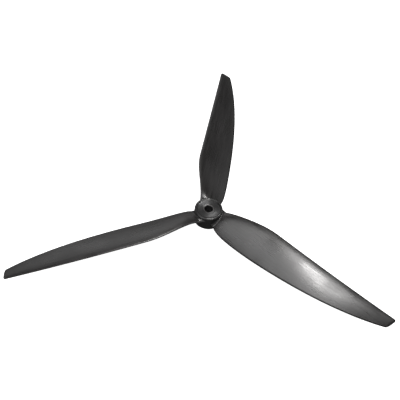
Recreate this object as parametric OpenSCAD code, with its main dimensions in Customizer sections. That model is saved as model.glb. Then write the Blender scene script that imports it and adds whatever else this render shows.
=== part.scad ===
// Three-blade propeller for a multirotor model, moulded in glass-filled nylon.
// Millimetres. +Z is the thrust side. The origin is on the shaft axis, in the hub's rear face.
// Seen from +Z the propeller turns anticlockwise, so each blade leads with its +V edge.

/* [Propeller] */
// Diameter of the circle that the blade tips sweep
prop_d = 254; // [200:1:300]

/* [Hub] */
// Outer diameter of the hub
hub_d = 17.2; // [15:0.1:22]
// Height of the hub, from rear face to front rim
hub_h = 9.8; // [8:0.1:13]
// Radius of the rounding round the front edge
front_edge_r = 0.9; // [0.3:0.1:1.5]
// Width of the raised rim round the front face
rim_w = 1.2; // [0.8:0.1:1.6]
// Depth of the flat front face below the rim
face_depth = 0.25; // [0.1:0.05:0.6]
// Chamfer round the rear edge
rear_chamfer = 0.3; // [0.1:0.1:0.6]
// Gap between the shaft and the hole through the front of the hub
shaft_gap = 0.1; // [0.05:0.05:0.3]
// Countersink round the front hole
hole_chamfer = 0.3; // [0.1:0.1:0.5]

/* [Hub underside] */
// Wall between the pockets and the outside of the hub
hub_wall = 1.3; // [1:0.1:1.8]
// Wall round the adapter ring's seat
boss_wall = 1.2; // [1:0.1:1.8]
// Depth of the pockets, from the rear face
pocket_depth = 5.6; // [3:0.1:6]
// Number of ribs between the pockets
rib_count = 6; // [3:1:9]
// Thickness of each rib
rib_w = 1.1; // [0.8:0.1:1.6]

/* [Adapter ring] */
// Diameter of the motor shaft that the ring fits
shaft_d = 5; // [3:0.1:6]
// Outer diameter of the ring
ring_d = 8; // [7.6:0.1:9]
// Length of the ring
ring_h = 4; // [2.5:0.1:5.5]
// How far the ring sits in from the rear face
ring_inset = 0.3; // [0.1:0.1:0.6]
// Radial gap between the ring and its seat
ring_gap = 0.04; // [0.02:0.01:0.08]
// Chamfer on the ring's edges
ring_chamfer = 0.25; // [0.1:0.05:0.4]

/* [Blade outline] */
// Distance of the straight leading edge from the blade's axis
lead_offset = 13.3; // [10:0.1:16]
// Distance of the leading edge from the blade's axis at the hub
lead_root = 6.4; // [4:0.1:7]
// Slope at which the leading edge leaves the hub
lead_slope = 0.19; // [0.1:0.01:0.4]
// Radius at which the leading edge becomes straight
shoulder_r = 43; // [32:0.5:60]
// How far the trailing edge sweeps back between the tip and the hub
trail_w = 15; // [12:0.1:18]
// Power of the radius in the trailing edge's curve
trail_power = 2.92; // [2:0.01:4]
// Fullness of the trailing edge's curve, where 0.5 is an ellipse
trail_fullness = 0.9; // [0.7:0.01:1.2]
// How far the trailing edge is drawn in at the hub
trail_tuck = 2.4; // [0:0.1:3]
// Length over which the trailing edge comes back out
tuck_len = 4; // [3:0.5:12]

/* [Blade tip] */
// Width of the blade's end, before its corners are rounded
tip_w = 6; // [5:0.1:9]
// Radius of the end's front corner
tip_corner_r = 1.2; // [0.6:0.1:2]
// Angle at which the end leans in towards the trailing edge
end_angle = 14; // [8:1:30]
// Length over which the trailing edge turns into the end
end_turn = 4; // [1:0.5:5]

/* [Blade twist] */
// Pitch angle that the twist heads for at the shaft's axis
root_angle = 33.5; // [20:0.5:40]
// Pitch angle at the tip
tip_angle = 11.8; // [6:0.1:16]
// How fast the pitch angle falls towards the tip
twist_power = 1.37; // [1:0.01:1.8]
// Share of the pitch angle that is taken off at the hub
root_relief = 0.45; // [0:0.05:0.6]
// How far the blade's middle line drops at the hub
root_drop = 0.9; // [0:0.1:1.2]
// Length over which the relief and the drop fade out
relief_len = 5; // [3:0.5:12]
// Rise of the blade's middle line, at the tip
tip_rise = 1.1; // [0:0.1:3]
// Radius at which the middle line is lowest
low_r = 69; // [50:1:75]
// Height of the middle line above the hub's mid-height, where it is lowest
blade_lift = 0.1; // [0:0.05:0.6]

/* [Blade section] */
// Greatest thickness at the hub
root_t = 2.9; // [2:0.1:4]
// Greatest thickness at the tip
tip_t = 1.1; // [0.8:0.05:1.6]
// Thickness of the blunt trailing edge
trail_t = 0.7; // [0.5:0.05:1]
// Camber, as a share of the chord
camber = 0.035; // [0:0.005:0.06]
// Radius of the fillet between the blade's faces and the hub
fillet_r = 0.8; // [0.3:0.1:2.5]
// How far the blade's edges spread where they meet the hub
edge_spread = 0.8; // [0:0.1:1.2]

/* [Hidden] */
hub_r = hub_d / 2;
front_hole_d = shaft_d + 2 * shaft_gap;
blade_angle = 120;              // between neighbouring blades
eps = 0.01;                     // a cut's overrun past a face
face_z = hub_h - face_depth;
ring_r = ring_d / 2;
seat_r = ring_r + ring_gap;
seat_depth = ring_inset + ring_h;
boss_r = seat_r + boss_wall;
pocket_r = hub_r - hub_wall;
arc_steps = 8;                  // straight pieces in each rounded edge
mid_z = hub_h / 2 + blade_lift; // the blade's middle line at low_r
tip_v = lead_offset - tip_corner_r;
tip_u = sqrt(pow(prop_d / 2, 2) - pow(tip_v, 2));
end_blend = min(end_turn, tip_w - tip_corner_r);
start_u = hub_r * 0.35;         // the first section, well inside the hub
edge_u = hub_r * 0.55;          // where the blade's edges come out of the hub
spread_len = 2.5;               // length over which the edges' spread fades out
stations = 46;                  // sections along a blade
tip_crowding = 1.5;             // above 1, sections crowd towards the tip
even_share = 0.1;               // share of the spacing that is even
side_steps = 15;                // points along each side of a section
cap_gap = 0.01;                 // the last section's distance from the tip
nylon = [0.13, 0.13, 0.135];

// ---- hub ----

function arc(cx, cy, r, from, to) =
    [for (i = [0 : arc_steps]) let (a = from + (to - from) * i / arc_steps) [cx + r * cos(a), cy + r * sin(a)]];

// Half of the hub's outline: rear chamfer, side, rounded front edge, rim and sunk face.
module hub_outline() {
    rim_r = min(front_edge_r, rim_w * 0.75);
    rim_inner = hub_r - rim_w;
    polygon(concat(
        [[0, 0], [hub_r - rear_chamfer, 0], [hub_r, rear_chamfer]],
        arc(hub_r - rim_r, hub_h - rim_r, rim_r, 0, 90),
        [[rim_inner + face_depth, hub_h], [rim_inner - face_depth, face_z], [0, face_z]]
    ));
}

// One lightening pocket between two ribs.
module pocket() {
    mid_r = (pocket_r + boss_r) / 2;
    half_rib = asin(rib_w / 2 / mid_r);
    rotate(half_rib)
        translate([0, 0, -eps])
            rotate_extrude(angle = 360 / rib_count - 2 * half_rib, $fn = 96)
                translate([boss_r, 0])
                    square([pocket_r - boss_r, pocket_depth + eps]);
}

module hub() {
    color(nylon)
    difference() {
        rotate_extrude($fn = 96) hub_outline();
        translate([0, 0, -eps]) cylinder(r = seat_r, h = seat_depth + eps, $fn = 96);
        cylinder(d = front_hole_d, h = hub_h, $fn = 96);
        translate([0, 0, face_z - hole_chamfer])
            cylinder(d1 = front_hole_d, d2 = front_hole_d + 2 * (hole_chamfer + eps),
                     h = hole_chamfer + eps, $fn = 96);
        for (i = [0 : rib_count - 1]) rotate(i * 360 / rib_count) pocket();
    }
}

// ---- adapter ring ----

module adapter_ring() {
    bore_r = shaft_d / 2;
    color([0.17, 0.17, 0.175])
    translate([0, 0, ring_inset])
        rotate_extrude($fn = 96)
            polygon([
                [bore_r + ring_chamfer, 0], [ring_r - ring_chamfer, 0], [ring_r, ring_chamfer],
                [ring_r, ring_h - ring_chamfer], [ring_r - ring_chamfer, ring_h],
                [bore_r + ring_chamfer, ring_h], [bore_r, ring_h - ring_chamfer], [bore_r, ring_chamfer]
            ]);
}

// ---- blade ----
// U runs out along the blade's axis, V towards the leading edge, and Z up.

// 1 at the hub, fading out along the blade.
function fade(u, length) = exp(-max(0, u - hub_r) / length);

// Leading edge before its corner is rounded: a cubic from the hub to the shoulder, then a straight line.
function lead_line(u) =
    let (s = max(0, min(1, (u - hub_r) / (shoulder_r - hub_r))))
    (1 + 2 * s) * pow(1 - s, 2) * lead_root
    + s * pow(1 - s, 2) * (shoulder_r - hub_r) * lead_slope
    + s * s * (3 - 2 * s) * lead_offset;

function lead_v(u) =
    let (corner = max(0, min(1, (u - (tip_u - tip_corner_r)) / tip_corner_r)))
    lead_line(u) - tip_corner_r * (1 - sqrt(1 - corner * corner));

// Trailing edge before it turns into the blade's end: one long curve.
function trail_line(u) =
    lead_offset - tip_w - trail_w * pow(max(0, 1 - pow(u / tip_u, trail_power)), trail_fullness)
    + trail_tuck * fade(u, tuck_len);

function trail_v(u) =
    let (line = trail_line(u), end = tip_v - (tip_u - u) / tan(end_angle),
         near = max(0, 1 - abs(line - end) / end_blend))
    max(line, end) + end_blend / 4 * near * near;

// The line that the section turns about.
function middle_v(u) = (lead_line(u) + trail_line(u)) / 2;

function pitch_angle(u) =
    (tip_angle + (root_angle - tip_angle) * pow(1 - u / tip_u, twist_power))
    * (1 - root_relief * fade(u, relief_len));

function middle_z(u) =
    mid_z + tip_rise * pow((u - low_r) / (tip_u - low_r), 2) - root_drop * fade(u, relief_len);

// Greatest thickness of the section, which rounds off just before the tip.
function section_t(u) =
    let (x = max(0, (u - (tip_u - tip_t)) / tip_t))
    (tip_t + (root_t - tip_t) * (1 - u / tip_u)) * sqrt(max(0.02, 1 - x * x));

// Half thickness at x, a share of the chord: a round nose that thins to a blunt trailing edge.
function half_t(x, t, back_t) =
    5 * (t - back_t * 0.5) * (0.2969 * sqrt(x) - 0.126 * x - 0.3516 * x * x + 0.2843 * pow(x, 3) - 0.1036 * pow(x, 4))
    + back_t / 2 * sqrt(1 - pow(1 - min(1, x * 4), 2));

// How far the fillet at the hub lifts the surface, at a point's distance from the shaft's axis.
function flare(r) =
    let (d = max(0, min(fillet_r, r - hub_r)))
    fillet_r - sqrt(pow(fillet_r, 2) - pow(fillet_r - d, 2));

// The fillet's share at x: full where there is hub wall to meet, above at the back and below at the front.
function fillet_share(x, side) =
    sqrt(1 - pow(1 - 2 * x, 4)) * min(1, 1.8 * (side > 0 ? x : 1 - x));

// How far the blade's edges spread towards the hub.
function spread(u) = edge_spread * exp(-max(0, u - edge_u) / spread_len);

// One point of the section at u: side is 1 above and -1 below.
function section_point(u, x, side) =
    let (a = pitch_angle(u),
         front = lead_v(u) + spread(u), back = trail_v(u) - spread(u),
         chord = (front - back) / cos(a),
         t = min(section_t(u), chord * 0.45),
         back_t = min(trail_t, t * 0.7),
         flat_v = front - x * (front - back),
         up = 4 * camber * chord * x * (1 - x)
              + side * (half_t(x, t, back_t) + flare(norm([u, flat_v])) * fillet_share(x, side)))
    [u, flat_v - up * sin(a), middle_z(u) + (flat_v - middle_v(u)) * tan(a) + up * cos(a)];

// A section runs from the trailing edge over the top to the nose and back underneath.
function side_x(i) = (1 - cos(180 * i / side_steps)) / 2;
function section(u) = concat(
    [for (i = [side_steps : -1 : 0]) section_point(u, side_x(i), 1)],
    [for (i = [1 : side_steps]) section_point(u, side_x(i), -1)]
);

// Sections are closer together near the hub, and closest near the tip.
function station_u(i) =
    let (s = 1 - pow(1 - i / (stations - 1), tip_crowding))
    start_u + (tip_u - cap_gap - start_u) * (even_share * s + (1 - even_share) * (1 - cos(180 * s)) / 2);

module blade_skin() {
    around = 2 * side_steps + 1;
    points = [for (i = [0 : stations - 1]) each section(station_u(i))];
    root_cap = [[for (j = [around - 1 : -1 : 0]) j]];
    tip_cap = [[for (j = [0 : around - 1]) (stations - 1) * around + j]];
    sides = [for (i = [0 : stations - 2], j = [0 : around - 1])
        let (a = i * around + j, b = i * around + (j + 1) % around)
        each [[a, b, b + around], [a, b + around, a + around]]];
    polyhedron(points, concat(root_cap, sides, tip_cap));
}

// The blade ends on the hub's side wall, where it is moulded on.
module blade(number) {
    color(nylon)
    rotate(90 + (number - 1) * blade_angle)
    difference() {
        blade_skin();
        translate([0, 0, -hub_h]) cylinder(r = hub_r, h = 3 * hub_h, $fn = 96);
    }
}

hub();
blade(1);  // blade_1
blade(2);  // blade_2
blade(3);  // blade_3
adapter_ring();
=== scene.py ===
"""Three-blade multirotor propeller in glass-filled nylon, with its adapter ring.

Lengths are in millimetres until they reach Blender, which works in metres.
The shaft stands on +Z, the hub's rear face lies at z = 0, and blade 1 points along +Y.
"""

import math

import bpy
from mathutils import Matrix, Vector


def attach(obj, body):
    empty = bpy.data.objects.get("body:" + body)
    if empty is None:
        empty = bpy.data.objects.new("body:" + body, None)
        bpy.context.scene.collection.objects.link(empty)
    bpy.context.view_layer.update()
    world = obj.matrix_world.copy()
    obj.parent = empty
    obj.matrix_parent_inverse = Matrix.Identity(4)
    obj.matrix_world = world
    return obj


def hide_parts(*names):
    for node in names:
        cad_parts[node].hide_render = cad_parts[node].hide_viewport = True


MM = 0.001
WELD_DISTANCE = 2e-6

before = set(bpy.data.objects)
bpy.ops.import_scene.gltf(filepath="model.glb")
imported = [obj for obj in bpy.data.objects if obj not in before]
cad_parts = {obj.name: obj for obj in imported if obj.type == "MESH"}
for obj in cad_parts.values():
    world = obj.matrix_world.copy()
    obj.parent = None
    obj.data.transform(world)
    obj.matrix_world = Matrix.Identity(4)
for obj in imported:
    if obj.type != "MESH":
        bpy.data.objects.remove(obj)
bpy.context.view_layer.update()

# ---- sizes, in millimetres and degrees ----

PROP_R = 126.98

# hub
HUB_R = 8.6
HUB_H = 9.8
FRONT_EDGE_R = 0.9
RIM_W = 1.2
FACE_DEPTH = 0.25
REAR_CHAMFER = 0.3
FRONT_HOLE_R = 2.6
HOLE_CHAMFER = 0.3
SEAT_R = 4.04
SEAT_DEPTH = 4.3
BOSS_R = 5.24
POCKET_R = 7.3
POCKET_DEPTH = 5.6
RIBS = 6
RIB_W = 1.1

# adapter ring
RING_R = 4.0
RING_BORE_R = 2.5
RING_H = 4.0
RING_INSET = 0.3
RING_CHAMFER = 0.25

# blade edges, seen along the shaft
LEAD_OFFSET = 13.3
LEAD_ROOT = 6.4
LEAD_SLOPE = 0.19
SHOULDER_R = 43.0
TRAIL_W = 15.0
TRAIL_POWER = 2.92
TRAIL_FULLNESS = 0.9
TRAIL_TUCK = 2.4
TUCK_LEN = 4.0

# blade end
TIP_W = 6.0
TIP_CORNER_R = 1.2
END_ANGLE = 14.0
END_BLEND = 4.0

# twist, and the height of the line that the section turns about
ROOT_ANGLE = 33.5
TIP_ANGLE = 11.8
TWIST_POWER = 1.37
ROOT_RELIEF = 0.45
ROOT_DROP = 0.9
RELIEF_LEN = 5.0
TIP_RISE = 1.1
LOW_R = 69.0
MID_Z = HUB_H / 2 + 0.09

# section, and the way it swells where it meets the hub
ROOT_T = 2.9
TIP_T = 1.1
TRAIL_T = 0.7
CAMBER = 0.035
FILLET_R = 0.8
EDGE_SPREAD = 0.8
SPREAD_LEN = 2.5
EDGE_U = HUB_R * 0.55  # the swelling is full up to here

# where the leading edge's rounded corner ends
TIP_V = LEAD_OFFSET - TIP_CORNER_R
TIP_U = math.sqrt(PROP_R**2 - TIP_V**2)

MAX_T_SHARE = 0.45  # greatest thickness of a section, as a share of its chord
TRAIL_T_SHARE = 0.7  # greatest thickness of the trailing edge, as a share of the section's
TIP_T_SHARE = 0.02  # keeps the rounded tip from closing to a line
TRAIL_EDGE_BULGE = 0.14
BULGE_T_SHARE = 0.2  # greatest bulge of the trailing edge, as a share of its thickness

# meshes
HUB_SIDES = 144
HUB_EASE = 0.1
RING_SIDES = 96
RING_EASE = 0.06
EASE_SEGMENTS = 2
FRONT_EDGE_STEPS = 14
BLADE_ROOT_R = 8.35  # the blade's mesh starts inside the hub's wall
ROOT_TRIES = 30
LEAST_ROOT_U = 2.0
BLADE_STATIONS = 150
TIP_CROWDING = 1.5
EVEN_SHARE = 0.1  # share of the stations' spacing that stays even
BLADE_SIDE_ROWS = 30  # rows of points along each side of a section
TRAIL_EDGE_ROWS = 6  # rows round the blunt trailing edge
TRAIL_EDGE_ROUNDING = 0.6
BLADE_SHARP_ANGLE = 50.0
UNDERSIDE_SHIFT = 40.0  # sets the underside's marks apart from the top's


# ---- modelling helpers ----


def start_edit(obj):
    """Opens obj alone in edit mode with nothing selected."""
    if bpy.context.object and bpy.context.object.mode != "OBJECT":
        bpy.ops.object.mode_set(mode="OBJECT")
    bpy.ops.object.select_all(action="DESELECT")
    obj.select_set(True)
    bpy.context.view_layer.objects.active = obj
    bpy.ops.object.mode_set(mode="EDIT")
    bpy.ops.mesh.select_all(action="DESELECT")


def select_faces(obj, wanted):
    """Selects, in edit mode, the faces whose centre wanted() accepts."""
    bpy.ops.mesh.select_all(action="DESELECT")
    bpy.ops.mesh.select_mode(type="FACE")
    bpy.ops.object.mode_set(mode="OBJECT")
    for face in obj.data.polygons:
        face.select = wanted(face.center / MM)
    bpy.ops.object.mode_set(mode="EDIT")


def close_shell():
    """Welds doubled points and turns every face outwards, in edit mode."""
    bpy.ops.mesh.select_all(action="SELECT")
    bpy.ops.mesh.remove_doubles(threshold=WELD_DISTANCE)
    bpy.ops.mesh.normals_make_consistent(inside=False)
    bpy.ops.mesh.select_all(action="DESELECT")


def leave_edit(obj, sharp_angle=35.0):
    """Back to object mode, with the place in the mesh and smooth faces between sharp edges."""
    bpy.ops.object.mode_set(mode="OBJECT")
    bpy.ops.object.transform_apply(location=True, rotation=True, scale=True)
    bpy.ops.object.shade_smooth_by_angle(angle=math.radians(sharp_angle))
    return obj


def apply_bevel(obj, width, angle=60.0):
    """Rounds the edges sharper than angle."""
    bevel = obj.modifiers.new("eased_edges", "BEVEL")
    bevel.width = width * MM
    bevel.segments = EASE_SEGMENTS
    bevel.limit_method = "ANGLE"
    bevel.angle_limit = math.radians(angle)
    bpy.ops.object.modifier_apply(modifier=bevel.name)


def arc(cx, cz, radius, start, end, steps):
    """Points on an arc in the (radius, height) plane."""
    angles = [math.radians(start + (end - start) * i / steps) for i in range(steps + 1)]
    return [(cx + radius * math.cos(a), cz + radius * math.sin(a)) for a in angles]


def turn_outline(name, outline, sides):
    """Draws a ring at the outline's first point and extrudes it round the closed outline."""
    bpy.ops.object.select_all(action="DESELECT")
    radius, height = outline[0]
    bpy.ops.mesh.primitive_circle_add(
        vertices=sides, radius=radius * MM, location=(0, 0, height * MM), fill_type="NOTHING"
    )
    obj = bpy.context.object
    obj.name = name
    bpy.ops.object.mode_set(mode="EDIT")
    bpy.ops.mesh.select_mode(type="EDGE")
    bpy.ops.mesh.select_all(action="SELECT")
    for next_radius, next_height in outline[1:] + outline[:1]:
        rise = (next_height - height) * MM
        bpy.ops.mesh.extrude_region_move(TRANSFORM_OT_translate={"value": (0, 0, rise)})
        widen = next_radius / radius
        bpy.ops.transform.resize(value=(widen, widen, 1))
        radius, height = next_radius, next_height
    close_shell()
    bpy.ops.object.mode_set(mode="OBJECT")
    bpy.ops.object.transform_apply(location=True, rotation=True, scale=True)
    return obj


# ---- hub ----


def make_hub():
    """Hub with a rimmed front face, a rear seat for the ring, and pockets between ribs."""
    rim_inner = HUB_R - RIM_W
    face_z = HUB_H - FACE_DEPTH
    hole_edge_r = FRONT_HOLE_R + HOLE_CHAMFER
    # the small offsets ease the corners
    rear_corner = [
        (HUB_R - REAR_CHAMFER, 0), (HUB_R - 0.08, REAR_CHAMFER - 0.08), (HUB_R, REAR_CHAMFER + 0.1),
    ]
    side = [(HUB_R, z) for z in (2.0, 4.0, 6.0, 8.0)]
    front_edge = arc(HUB_R - FRONT_EDGE_R, HUB_H - FRONT_EDGE_R, FRONT_EDGE_R, 0, 90, FRONT_EDGE_STEPS)
    rim_step = [
        (rim_inner + FACE_DEPTH - 0.02, HUB_H - 0.01), (rim_inner + 0.1, HUB_H - 0.07),
        (rim_inner - 0.1, face_z + 0.06), (rim_inner - FACE_DEPTH, face_z),
    ]
    face = [(6.0, face_z), (4.5, face_z)]
    hole_edge = [
        (hole_edge_r + 0.06, face_z), (hole_edge_r - 0.04, face_z - 0.03),
        (FRONT_HOLE_R + 0.03, face_z - HOLE_CHAMFER + 0.05), (FRONT_HOLE_R, face_z - HOLE_CHAMFER - 0.1),
    ]
    hole = [(FRONT_HOLE_R, 7.0), (FRONT_HOLE_R, SEAT_DEPTH)]
    seat = [(SEAT_R, SEAT_DEPTH), (SEAT_R, 2.0), (SEAT_R, 0)]
    rear_face = [(BOSS_R, 0), (POCKET_R, 0)]
    outline = rear_corner + side + front_edge + rim_step + face + hole_edge + hole + seat + rear_face
    hub = turn_outline("hub_moulding", outline, HUB_SIDES)
    start_edit(hub)

    half_rib = math.degrees(math.asin(RIB_W / 2 / ((POCKET_R + BOSS_R) / 2)))
    between_ribs = 360 / RIBS

    def in_pocket(centre):
        if abs(centre.z) > 0.01 or not BOSS_R < math.hypot(centre.x, centre.y) < POCKET_R:
            return False
        around = math.degrees(math.atan2(centre.y, centre.x)) % between_ribs
        return half_rib < around < between_ribs - half_rib

    select_faces(hub, in_pocket)
    bpy.ops.mesh.extrude_region_move(TRANSFORM_OT_translate={"value": (0, 0, POCKET_DEPTH * MM)})
    bpy.ops.object.mode_set(mode="OBJECT")
    apply_bevel(hub, HUB_EASE)
    start_edit(hub)
    close_shell()
    return leave_edit(hub)


# ---- adapter ring ----


def make_ring():
    """Push-in ring that narrows the hub's rear seat to the shaft."""
    low, high = RING_INSET, RING_INSET + RING_H
    outline = [
        (RING_BORE_R + RING_CHAMFER, low), (RING_R - RING_CHAMFER, low),
        (RING_R, low + RING_CHAMFER), (RING_R, (low + high) / 2), (RING_R, high - RING_CHAMFER),
        (RING_R - RING_CHAMFER, high), (RING_BORE_R + RING_CHAMFER, high),
        (RING_BORE_R, high - RING_CHAMFER), (RING_BORE_R, (low + high) / 2),
        (RING_BORE_R, low + RING_CHAMFER),
    ]
    ring = turn_outline("shaft_ring", outline, RING_SIDES)
    apply_bevel(ring, RING_EASE, angle=30.0)
    start_edit(ring)
    return leave_edit(ring)


# ---- blade section, as functions of the distance u out along the blade ----


def fade(u, length):
    return math.exp(-max(0.0, u - HUB_R) / length)


def lead_line(u):
    """Leading edge before its corner is rounded: a cubic to the shoulder, then a straight line."""
    s = min(1.0, max(0.0, (u - HUB_R) / (SHOULDER_R - HUB_R)))
    return (
        (1 + 2 * s) * (1 - s) ** 2 * LEAD_ROOT
        + s * (1 - s) ** 2 * (SHOULDER_R - HUB_R) * LEAD_SLOPE
        + s * s * (3 - 2 * s) * LEAD_OFFSET
    )


def lead_v(u):
    corner = min(1.0, max(0.0, (u - (TIP_U - TIP_CORNER_R)) / TIP_CORNER_R))
    return lead_line(u) - TIP_CORNER_R * (1 - math.sqrt(1 - corner**2))


def trail_line(u):
    """Trailing edge before it turns into the blade's end: one long curve."""
    curve = max(0.0, 1 - (u / TIP_U) ** TRAIL_POWER) ** TRAIL_FULLNESS
    return LEAD_OFFSET - TIP_W - TRAIL_W * curve + TRAIL_TUCK * fade(u, TUCK_LEN)


def trail_v(u):
    line = trail_line(u)
    end = TIP_V - (TIP_U - u) / math.tan(math.radians(END_ANGLE))
    near = max(0.0, 1 - abs(line - end) / END_BLEND)
    return max(line, end) + END_BLEND / 4 * near**2


def middle_v(u):
    """The line that the section turns about."""
    return (lead_line(u) + trail_line(u)) / 2


def pitch_angle(u):
    """Twist in radians."""
    out = max(0.0, 1 - u / TIP_U) ** TWIST_POWER
    angle = TIP_ANGLE + (ROOT_ANGLE - TIP_ANGLE) * out
    return math.radians(angle * (1 - ROOT_RELIEF * fade(u, RELIEF_LEN)))


def middle_z(u):
    return MID_Z + TIP_RISE * ((u - LOW_R) / (TIP_U - LOW_R)) ** 2 - ROOT_DROP * fade(u, RELIEF_LEN)


def section_t(u):
    """Greatest thickness, rounded off just before the tip."""
    x = max(0.0, (u - (TIP_U - TIP_T)) / TIP_T)
    return (TIP_T + (ROOT_T - TIP_T) * (1 - u / TIP_U)) * math.sqrt(max(TIP_T_SHARE, 1 - x * x))


def half_t(x, t, back_t):
    """Half thickness at x, a share of the chord from the nose: an aerofoil's usual curve, left blunt."""
    wing = 0.2969 * math.sqrt(x) - 0.126 * x - 0.3516 * x**2 + 0.2843 * x**3 - 0.1036 * x**4
    return 5 * (t - back_t * 0.5) * wing + back_t / 2 * math.sqrt(1 - (1 - min(1.0, x * 4)) ** 2)


def flare(radius):
    """How far the fillet at the hub lifts the surface."""
    d = min(FILLET_R, max(0.0, radius - HUB_R))
    return FILLET_R - math.sqrt(FILLET_R**2 - (FILLET_R - d) ** 2)


def fillet_share(x, side):
    """The fillet fades towards both edges, and sooner towards the edge that this side leans over."""
    return math.sqrt(max(0.0, 1 - (1 - 2 * x) ** 4)) * min(1.0, 1.8 * (x if side > 0 else 1 - x))


def section_point(u, x, side, back_share, bulge):
    """A point of the section; back_share and bulge place those on the blunt trailing edge."""
    a = pitch_angle(u)
    spread = EDGE_SPREAD * math.exp(-max(0.0, u - EDGE_U) / SPREAD_LEN)
    front, back = lead_v(u) + spread, trail_v(u) - spread
    chord = (front - back) / math.cos(a)
    t = min(section_t(u), chord * MAX_T_SHARE)
    back_t = min(TRAIL_T, t * TRAIL_T_SHARE)
    pull_in = min(TRAIL_EDGE_BULGE, back_t * BULGE_T_SHARE)
    flat_v = front - x * (front - back - pull_in) - bulge * pull_in
    lift = flare(math.hypot(u, flat_v)) * fillet_share(x, side)
    up = 4 * CAMBER * chord * x * (1 - x) + side * back_share * (half_t(x, t, back_t) + lift)
    z = middle_z(u) + (flat_v - middle_v(u)) * math.tan(a) + up * math.cos(a)
    return Vector((u, flat_v - up * math.sin(a), z))


def section_rows():
    """(x, side, back_share, bulge) of each point round a section.

    They start at the middle of the trailing edge and end there again.
    """
    top = [(1 - math.cos(math.pi * i / BLADE_SIDE_ROWS)) / 2 for i in range(BLADE_SIDE_ROWS, -1, -1)]
    edge = []
    for i in range(TRAIL_EDGE_ROWS):
        turn = math.pi / 2 * i / TRAIL_EDGE_ROWS
        share, bulge = math.sin(turn) ** TRAIL_EDGE_ROUNDING, math.cos(turn) ** TRAIL_EDGE_ROUNDING
        edge.append((1.0, 1, share, bulge))
    upper = [(x, 1, 1.0, 0.0) for x in top]
    lower = [(x, -1, 1.0, 0.0) for x in reversed(top[:-1])]
    return edge + upper + lower + [(x, -1, share, bulge) for x, _, share, bulge in reversed(edge)]


def root_u(x, side, share, bulge):
    """Where this row of points meets the cylinder that the blade's mesh starts on."""
    u = HUB_R
    for _ in range(ROOT_TRIES):
        v = section_point(u, x, side, share, bulge).y
        u = 0.5 * u + 0.5 * math.sqrt(max(LEAST_ROOT_U**2, BLADE_ROOT_R**2 - v**2))
    return u


def station_share(s):
    """Share of the way out to the tip: stations crowd near the hub, and most near the tip."""
    s = 1 - (1 - s) ** TIP_CROWDING
    return EVEN_SHARE * s + (1 - EVEN_SHARE) * (1 - math.cos(math.pi * s)) / 2


def make_blade(number):
    """A sheet with a row for each point round the section, wrapped round the blade and welded.

    Its two UV maps follow the surface. "grain" holds the distances out along the blade and across it.
    "edges" holds the share of the chord from the nose, and the distance out. Distances are in metres.
    """
    rows = section_rows()
    roots = [root_u(*row) for row in rows]
    last_row, last_station = len(rows) - 1, BLADE_STATIONS

    bpy.ops.object.select_all(action="DESELECT")
    bpy.ops.mesh.primitive_grid_add(x_subdivisions=last_station, y_subdivisions=last_row, size=2)
    blade = bpy.context.object
    blade.name = f"blade_moulding_{number}"
    mesh = blade.data

    turn = Matrix.Rotation(math.radians(90 + 120 * (number - 1)), 3, "Z")
    place = {}
    for vertex in mesh.vertices:
        station = round((vertex.co.x + 1) / 2 * last_station)
        row = round((vertex.co.y + 1) / 2 * last_row)
        out = station_share(station / last_station)
        u = roots[row] + (TIP_U - roots[row]) * out
        x, side, share, bulge = rows[row]
        point = section_point(u, x, side, share, bulge)
        place[vertex.index] = (point, x, side)
        vertex.co = turn @ (point * MM)

    while mesh.uv_layers:
        mesh.uv_layers.remove(mesh.uv_layers[0])
    grain, edges = mesh.uv_layers.new(name="grain"), mesh.uv_layers.new(name="edges")
    for loop in mesh.loops:
        point, x, side = place[loop.vertex_index]
        grain.data[loop.index].uv = (point.x * MM, (point.y + UNDERSIDE_SHIFT * side) * MM)
        edges.data[loop.index].uv = (x, point.x * MM)

    start_edit(blade)
    close_shell()
    bpy.ops.mesh.select_mode(type="EDGE")
    bpy.ops.mesh.select_non_manifold(extend=False)
    bpy.ops.mesh.edge_face_add()
    close_shell()
    return leave_edit(blade, BLADE_SHARP_ANGLE)


# ---- materials ----

QUARTER_TURN = 0.25
NYLON_IOR = 1.53
ACETAL_IOR = 1.48
PLAIN_SHEEN = 0.5
# painted shade: the lower sheen along the blades' trailing edge
TRAIL_SHADE_SHEEN = 0.08
# painted shade: the lower sheen at the foot of the hub's rim
RIM_FOOT_SHADE_SHEEN = 0.1


def linear(hex_colour):
    """sRGB hex to linear RGBA."""
    parts = [int(hex_colour[i : i + 2], 16) / 255 for i in (1, 3, 5)]
    return [c / 12.92 if c <= 0.04045 else ((c + 0.055) / 1.055) ** 2.4 for c in parts] + [1.0]


def add_node(tree, kind, links=None, **settings):
    """Adds a node, sets its properties or input values, and links its inputs."""
    node = tree.nodes.new(kind)
    for key, value in settings.items():
        if hasattr(node, key) and key not in node.inputs:
            setattr(node, key, value)
        else:
            node.inputs[key.replace("_", " ")].default_value = value
    for key, source in (links or {}).items():
        tree.links.new(source, node.inputs[key])
    return node


def new_material(name):
    material = bpy.data.materials.new(name)
    material.use_nodes = True
    tree = material.node_tree
    tree.nodes.clear()
    shader = add_node(tree, "ShaderNodeBsdfPrincipled")
    output = add_node(tree, "ShaderNodeOutputMaterial")
    tree.links.new(shader.outputs["BSDF"], output.inputs["Surface"])
    return material, tree, shader


def colour_steps(tree, factor, steps):
    """Colour ramp from (position, hex) pairs."""
    ramp = add_node(tree, "ShaderNodeValToRGB", {"Fac": factor})
    elements = ramp.color_ramp.elements
    while len(elements) < len(steps):
        elements.new(0.5)
    for element, (position, colour) in zip(elements, steps):
        element.position = position
        element.color = linear(colour)
    return ramp.outputs["Color"]


def maths(tree, operation, first, second, clamp=False):
    """A sum on two values, of which the second may be a number."""
    node = add_node(tree, "ShaderNodeMath", {0: first}, operation=operation, use_clamp=clamp)
    if isinstance(second, float):
        node.inputs[1].default_value = second
    else:
        tree.links.new(second, node.inputs[1])
    return node.outputs[0]


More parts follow.
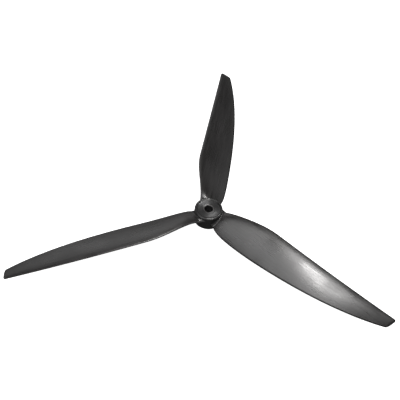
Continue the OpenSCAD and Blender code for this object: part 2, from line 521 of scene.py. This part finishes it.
def map_range(tree, value, low, high, new_low=0.0, new_high=1.0):
    """Maps low..high to new_low..new_high, and holds the ends."""
    node = add_node(tree, "ShaderNodeMapRange", {"Value": value})
    for name, number in (("From Min", low), ("From Max", high), ("To Min", new_low), ("To Max", new_high)):
        node.inputs[name].default_value = number
    return node.outputs["Result"]


def mix_values(tree, share, first, second):
    node = add_node(tree, "ShaderNodeMix", data_type="FLOAT")
    node.inputs["Factor"].default_value = share
    tree.links.new(first, node.inputs[2])
    tree.links.new(second, node.inputs[3])
    return node.outputs[0]


def mix_in_colour(tree, share, colour, hex_colour):
    """Colour, turning to hex_colour where share is 1."""
    node = add_node(tree, "ShaderNodeMix", {"Factor": share}, data_type="RGBA")
    tree.links.new(colour, node.inputs[6])
    node.inputs[7].default_value = linear(hex_colour)
    return node.outputs[2]


def noise(tree, place, per_metre, detail, roughness=0.5):
    """Noise with per_metre grains to the metre, or a pair of such numbers: along the marks, and across."""
    scale = per_metre
    if isinstance(per_metre, tuple):
        scale = 1.0
        stretch = add_node(tree, "ShaderNodeMapping", {"Vector": place}, Scale=(*per_metre, 1.0))
        place = stretch.outputs["Vector"]
    node = add_node(
        tree, "ShaderNodeTexNoise", {"Vector": place}, Scale=scale, Detail=detail, Roughness=roughness
    )
    return node.outputs["Fac"]


def set_bump(tree, shader, height, strength, distance):
    """Raises the marks in height by up to distance, in millimetres."""
    bump = add_node(tree, "ShaderNodeBump", {"Height": height}, Strength=strength, Distance=distance * MM)
    tree.links.new(bump.outputs["Normal"], shader.inputs["Normal"])


def set_brushed(tree, shader, amount, **tangent):
    """Spreads highlights across marks that run along the tangent."""
    shader.inputs["Anisotropic"].default_value = amount
    shader.inputs["Anisotropic Rotation"].default_value = QUARTER_TURN
    node = add_node(tree, "ShaderNodeTangent", **tangent)
    tree.links.new(node.outputs["Tangent"], shader.inputs["Tangent"])


def glass_filled_nylon_blade():
    """Glass-filled nylon, moulded and rubbed along the blade.

    Charcoal with a satin skin. Glass fibres lie along the flow, so fine marks and lighter
    bands run out along the blade. The thin leading edge is paler: a painted highlight.
    """
    material, tree, shader = new_material("glass_filled_nylon_blade")
    grain = add_node(tree, "ShaderNodeUVMap", uv_map="grain").outputs["UV"]

    # fibre marks about 20 mm long and 0.5 mm apart, and flow bands about 30 mm long and 3 mm apart
    fibres = noise(tree, grain, (50.0, 2000.0), detail=3.0, roughness=0.65)
    bands = noise(tree, grain, (33.0, 330.0), detail=3.0, roughness=0.6)
    streaks = mix_values(tree, 0.5, bands, fibres)
    skin = colour_steps(tree, streaks, [(0.32, "#1c1b1b"), (0.5, "#272626"), (0.68, "#343333")])

    # painted highlight: paler within about 4% of the chord from the leading edge, broken up along the edge
    place = add_node(tree, "ShaderNodeUVMap", uv_map="edges").outputs["UV"]
    across = add_node(tree, "ShaderNodeSeparateXYZ", {"Vector": place}).outputs["X"]
    near_lead = map_range(tree, across, 0.04, 0.0)
    lead_edge_highlight = maths(tree, "MULTIPLY", near_lead, bands, clamp=True)
    skin = mix_in_colour(tree, lead_edge_highlight, skin, "#4b4a4a")
    # painted shade: darker along the trailing edge, with less sheen there
    trail_shade = map_range(tree, across, 0.955, 0.985)
    skin = mix_in_colour(tree, trail_shade, skin, "#0b0b0b")
    tree.links.new(skin, shader.inputs["Base Color"])
    sheen = map_range(tree, trail_shade, 0.0, 1.0, PLAIN_SHEEN, TRAIL_SHADE_SHEEN)
    tree.links.new(sheen, shader.inputs["Specular IOR Level"])

    # duller patches about 20 mm across, where it has been handled
    patches = noise(tree, grain, 55.0, detail=2.0)
    dulled = mix_values(tree, 0.45, streaks, patches)
    rough = map_range(tree, dulled, 0.34, 0.66, 0.2, 0.42)
    tree.links.new(rough, shader.inputs["Roughness"])

    set_bump(tree, shader, streaks, strength=0.6, distance=0.06)
    shader.inputs["IOR"].default_value = NYLON_IOR
    set_brushed(tree, shader, 0.75, direction_type="UV_MAP", uv_map="grain")
    return material


def ring_band(tree, radius, middle, half_width):
    """1 where radius is at middle, falling to 0 at half_width on either side. Both are in millimetres."""
    off = maths(tree, "SUBTRACT", radius, middle * MM)
    size = add_node(tree, "ShaderNodeMath", {0: off}, operation="ABSOLUTE").outputs[0]
    return map_range(tree, size, half_width * MM, 0.0)


def glass_filled_nylon_turned():
    """The same nylon where the hub's mould was turned on a lathe.

    Fine rings round the shaft draw the light out into a bow-tie across the front face.
    """
    material, tree, shader = new_material("glass_filled_nylon_turned")
    place = add_node(tree, "ShaderNodeTexCoord").outputs["Object"]
    axes = add_node(tree, "ShaderNodeSeparateXYZ", {"Vector": place})
    squares = [maths(tree, "MULTIPLY", axes.outputs[axis], axes.outputs[axis]) for axis in "XY"]
    total = maths(tree, "ADD", *squares)
    radius = add_node(tree, "ShaderNodeMath", {0: total}, operation="SQRT").outputs[0]

    # turning marks about 0.3 mm apart
    marks = add_node(tree, "ShaderNodeTexNoise", noise_dimensions="1D")
    tree.links.new(maths(tree, "MULTIPLY", radius, 3300.0), marks.inputs["W"])
    marks.inputs["Scale"].default_value = 1.0
    marks.inputs["Detail"].default_value = 3.0
    # cloudy patches about 3 mm across
    clouds = noise(tree, place, 330.0, detail=3.0)
    skin = mix_values(tree, 0.5, marks.outputs["Fac"], clouds)
    skin = colour_steps(tree, skin, [(0.3, "#191919"), (0.5, "#222222"), (0.7, "#2b2a2a")])

    # painted shade in the corner at the foot of the rim, and a painted highlight as a paler line round the
    # hole's edge
    foot = ring_band(tree, radius, HUB_R - RIM_W - FACE_DEPTH, 0.35)
    skin = mix_in_colour(tree, foot, skin, "#080808")
    # painted highlight: a paler ring round the hole's edge
    mouth = ring_band(tree, radius, FRONT_HOLE_R + HOLE_CHAMFER, 0.3)
    skin = mix_in_colour(tree, mouth, skin, "#555453")
    tree.links.new(skin, shader.inputs["Base Color"])
    sheen = map_range(tree, foot, 0.0, 1.0, PLAIN_SHEEN, RIM_FOOT_SHADE_SHEEN)
    tree.links.new(sheen, shader.inputs["Specular IOR Level"])

    set_bump(tree, shader, marks.outputs["Fac"], strength=0.25, distance=0.03)
    shader.inputs["Roughness"].default_value = 0.32
    shader.inputs["IOR"].default_value = NYLON_IOR
    set_brushed(tree, shader, 0.85, direction_type="RADIAL", axis="Z")
    return material


def acetal_ring():
    """Acetal, moulded: darker and a little glossier than the hub, with a faint orange-peel skin."""
    material, tree, shader = new_material("acetal_ring")
    place = add_node(tree, "ShaderNodeTexCoord").outputs["Object"]
    # skin ripples about 0.6 mm across
    ripples = noise(tree, place, 1600.0, detail=2.0)
    skin = colour_steps(tree, ripples, [(0.35, "#202021"), (0.65, "#29292a")])
    tree.links.new(skin, shader.inputs["Base Color"])
    set_bump(tree, shader, ripples, strength=0.15, distance=0.03)
    shader.inputs["Roughness"].default_value = 0.3
    shader.inputs["IOR"].default_value = ACETAL_IOR
    return material


# ---- build ----

blade_nylon = glass_filled_nylon_blade()
hub_nylon = glass_filled_nylon_turned()

hub = make_hub()
hub.data.materials.append(hub_nylon)
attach(hub, "propeller")
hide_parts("hub")

for number in (1, 2, 3):
    blade = make_blade(number)
    blade.data.materials.append(blade_nylon)
    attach(blade, "propeller")
    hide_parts(f"blade_{number}")

ring = make_ring()
ring.data.materials.append(acetal_ring())
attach(ring, "ring")
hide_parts("adapter_ring")

# ---- floor, lights and camera ----

FLOOR_SIZE = 6.0  # metres
FLOOR_Z = -10.0  # just under the lowest place of the drawn-out ring

CAMERA_ELEVATION = math.radians(50.35)
CAMERA_SPIN = math.radians(5.87)  # blade 1 leans this far from straight away
CAMERA_ROLL = math.radians(6.06)
CAMERA_DISTANCE = 479.0
CAMERA_AIM = (-6.3, 4.6, 10.6)
CAMERA_LENS = 70.75
SENSOR_WIDTH = 36.0

# the room's brightness by the sine of the height angle
WORLD_STEPS = [(-1.0, 0.1), (-0.05, 0.12), (0.0, 1.0), (0.06, 0.55), (0.6, 0.05), (1.0, 0.05)]


def make_floor():
    """A wide sheet of white light-table acrylic, bright enough to hide its own shadows."""
    bpy.ops.object.select_all(action="DESELECT")
    bpy.ops.mesh.primitive_plane_add(size=FLOOR_SIZE, location=(0, 0, FLOOR_Z * MM))
    floor = bpy.context.object
    floor.name = "studio_floor"
    bpy.ops.object.transform_apply(location=True)
    floor.visible_diffuse = False
    floor.visible_glossy = False
    material, tree, shader = new_material("white_acrylic")
    shader.inputs["Base Color"].default_value = linear("#f4f4f4")
    shader.inputs["Roughness"].default_value = 0.9
    shader.inputs["Specular IOR Level"].default_value = 0.1
    shader.inputs["Emission Color"].default_value = linear("#ffffff")
    shader.inputs["Emission Strength"].default_value = 1.0
    floor.data.materials.append(material)


def add_softbox(name, place, aim, width, depth, strength, long_way):
    """A rectangular light at place, turned to aim. strength is the brightness of its front.

    Its width runs as nearly along long_way as the aim lets it. Places are in millimetres.
    """
    data = bpy.data.lights.new(name, "AREA")
    data.shape = "RECTANGLE"
    data.size, data.size_y = width * MM, depth * MM
    data.energy = strength * width * depth * MM**2 * math.pi
    back = (Vector(place) - Vector(aim)).normalized()
    down = back.cross(Vector(long_way)).normalized()
    along = down.cross(back)
    light = bpy.data.objects.new(name, data)
    axes = Matrix((along, down, back)).transposed()
    light.matrix_world = Matrix.Translation(Vector(place) * MM) @ axes.to_4x4()
    light.visible_camera = False
    bpy.context.scene.collection.objects.link(light)
    return light


def seen_from_camera(x, y, z):
    """A place or direction given as right, away and up from the camera, in the frame's axes."""
    return Matrix.Rotation(CAMERA_SPIN, 3, "Z") @ Vector((x, y, z))


def make_world():
    """Dim room: white round the horizon, darker overhead and under the table."""
    world = bpy.data.worlds.new("studio")
    bpy.context.scene.world = world
    world.use_nodes = True
    tree = world.node_tree
    tree.nodes.clear()
    way = add_node(tree, "ShaderNodeTexCoord").outputs["Generated"]
    height = add_node(tree, "ShaderNodeSeparateXYZ", {"Vector": way}).outputs["Z"]
    ramp = add_node(tree, "ShaderNodeValToRGB", {"Fac": map_range(tree, height, -1.0, 1.0)})
    elements = ramp.color_ramp.elements
    while len(elements) < len(WORLD_STEPS):
        elements.new(0.5)
    for element, (sine, brightness) in zip(elements, WORLD_STEPS):
        element.position = (sine + 1) / 2
        element.color = (brightness, brightness, brightness, 1.0)
    back = add_node(tree, "ShaderNodeBackground", {"Color": ramp.outputs["Color"]}, Strength=1.0)
    output = add_node(tree, "ShaderNodeOutputWorld")
    tree.links.new(back.outputs["Background"], output.inputs["Surface"])


def make_camera():
    away = seen_from_camera(0, math.cos(CAMERA_ELEVATION), -math.sin(CAMERA_ELEVATION))
    level = seen_from_camera(1, 0, 0)
    above = level.cross(away)
    right = level * math.cos(CAMERA_ROLL) + above * math.sin(CAMERA_ROLL)
    up = above * math.cos(CAMERA_ROLL) - level * math.sin(CAMERA_ROLL)
    place = (Vector(CAMERA_AIM) - away * CAMERA_DISTANCE) * MM
    data = bpy.data.cameras.new("camera")
    data.lens = CAMERA_LENS
    data.sensor_width = SENSOR_WIDTH
    camera = bpy.data.objects.new("camera", data)
    axes = Matrix((right, up, -away)).transposed()
    camera.matrix_world = Matrix.Translation(place) @ axes.to_4x4()
    bpy.context.scene.collection.objects.link(camera)
    bpy.context.scene.camera = camera


def make_lights(hub):
    level, centre = seen_from_camera(1, 0, 0), (0, 0, 0)
    # close over the middle of blade 3 and turned across it, for the highlight there
    strip_light = add_softbox(
        "strip_light", seen_from_camera(36, -6, 322), seen_from_camera(62, -45, 6),
        width=120, depth=26, strength=71.0, long_way=seen_from_camera(0.62, 0.78, 0),
    )
    add_softbox(
        "overhead_softbox", seen_from_camera(-470, -260, 960), centre,
        width=520, depth=720, strength=3.8, long_way=level,
    )
    add_softbox(
        "left_panel", seen_from_camera(-400, 950, 620), centre,
        width=420, depth=900, strength=0.9, long_way=level,
    )
    # drawn out into a bow-tie by the hub's turned face
    hub_light = add_softbox(
        "hub_softbox", seen_from_camera(150, 600, 1030), centre,
        width=120, depth=120, strength=52.0, long_way=level,
    )
    strip_light.data.color = (1.0, 0.985, 0.975)
    # a flag keeps this small light off the blades' edges
    hub_only = bpy.data.collections.new("lit_by_hub_softbox")
    hub_only.objects.link(hub)
    hub_light.light_linking.receiver_collection = hub_only


make_floor()
make_world()
make_lights(hub)
make_camera()

bpy.context.scene.view_settings.view_transform = "Standard"
